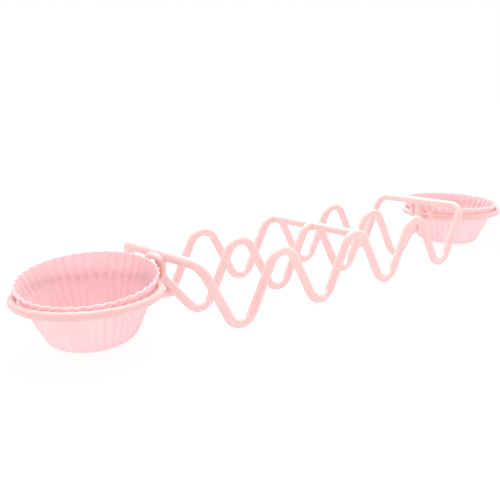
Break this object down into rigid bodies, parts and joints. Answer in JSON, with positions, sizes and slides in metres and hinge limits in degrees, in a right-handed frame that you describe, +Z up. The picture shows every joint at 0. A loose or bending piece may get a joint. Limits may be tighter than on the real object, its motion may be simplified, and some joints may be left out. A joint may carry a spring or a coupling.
{
  "type": "taco holder",
  "caption": "Low rack of wavy parallel rods that stands tacos upright in a row, with a ring at each end that holds a removable fluted cup for sauce or filling.",
  "frame": {"origin": "on the table under the middle of the rack", "axes": "+X along the row of tacos towards the right cup, +Z up, -Y towards the front"},
  "size_m": [0.3956, 0.0776, 0.0408],
  "materials": {
    "moulded_plastic": "satin, moulded",
    "silicone": "soft satin, slightly translucent"
  },
  "bodies": {
    "root": {"rack": "moulded_plastic", "left_cup": "silicone", "right_cup": "silicone"}
  },
  "joints": []
}
